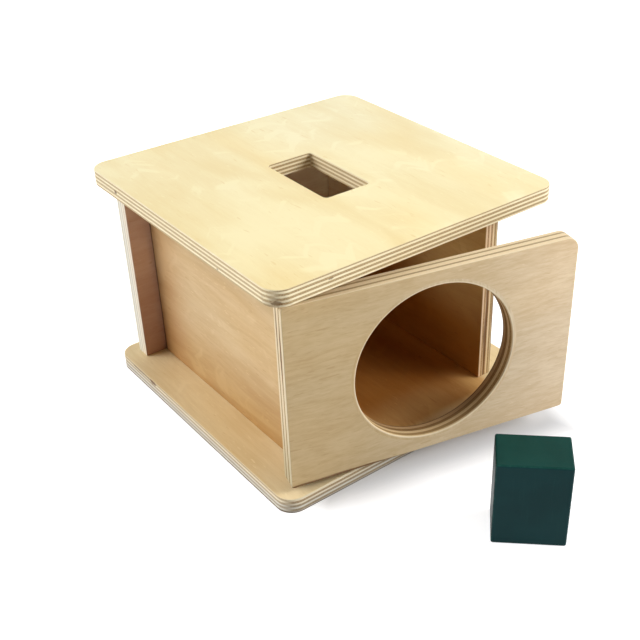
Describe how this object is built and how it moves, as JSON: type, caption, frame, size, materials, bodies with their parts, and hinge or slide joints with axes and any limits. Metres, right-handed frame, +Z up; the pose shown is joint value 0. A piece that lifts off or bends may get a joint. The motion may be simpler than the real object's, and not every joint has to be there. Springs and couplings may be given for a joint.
{
  "type": "shape sorter box",
  "caption": "Plywood posting box: slotted top and base panels, recessed walls, a pin-hung front door with a round hand hole, and a painted block to drop through the slot.",
  "frame": {"origin": "middle of the base panel's underside, on the surface the box stands on", "axes": "+X along the front, from the hinged end of the door to its free end; +Y from the door to the back wall; +Z up"},
  "size_m": [0.148, 0.2308, 0.107],
  "materials": {
    "birch_plywood": "clear satin lacquer on pale birch plywood, plies showing at the edges",
    "green_paint": "dark green semi-gloss paint on wood",
    "pin_steel": "plain drawn steel",
    "dowel_beech": "raw beech"
  },
  "bodies": {
    "box": {"top_panel": "birch_plywood", "base_panel": "birch_plywood", "left_wall": "birch_plywood", "right_wall": "birch_plywood", "back_wall": "birch_plywood", "upper_door_pin": "pin_steel", "lower_door_pin": "pin_steel", "left_wall_top_dowel_front": "dowel_beech", "left_wall_top_dowel_rear": "dowel_beech", "left_wall_base_dowel_front": "dowel_beech", "left_wall_base_dowel_rear": "dowel_beech", "right_wall_top_dowel_front": "dowel_beech", "right_wall_top_dowel_rear": "dowel_beech", "right_wall_base_dowel_front": "dowel_beech", "right_wall_base_dowel_rear": "dowel_beech", "back_wall_top_dowel_left": "dowel_beech", "back_wall_top_dowel_right": "dowel_beech", "back_wall_base_dowel_left": "dowel_beech", "back_wall_base_dowel_right": "dowel_beech"},
    "door": {"door": "birch_plywood"},
    "block": {"block": "green_paint"}
  },
  "joints": [
    {"name": "door_hinge", "type": "hinge", "parent": "box", "child": "door", "pos_m": [-0.0598, -0.06779, 0.0535], "axis": [0, 0, -1], "range_deg": [-15.9, 27]},
    {"name": "block_lift", "type": "slide", "parent": "box", "child": "block", "axis": [0, 0, 1], "range_m": [0, 0.12]}
  ]
}
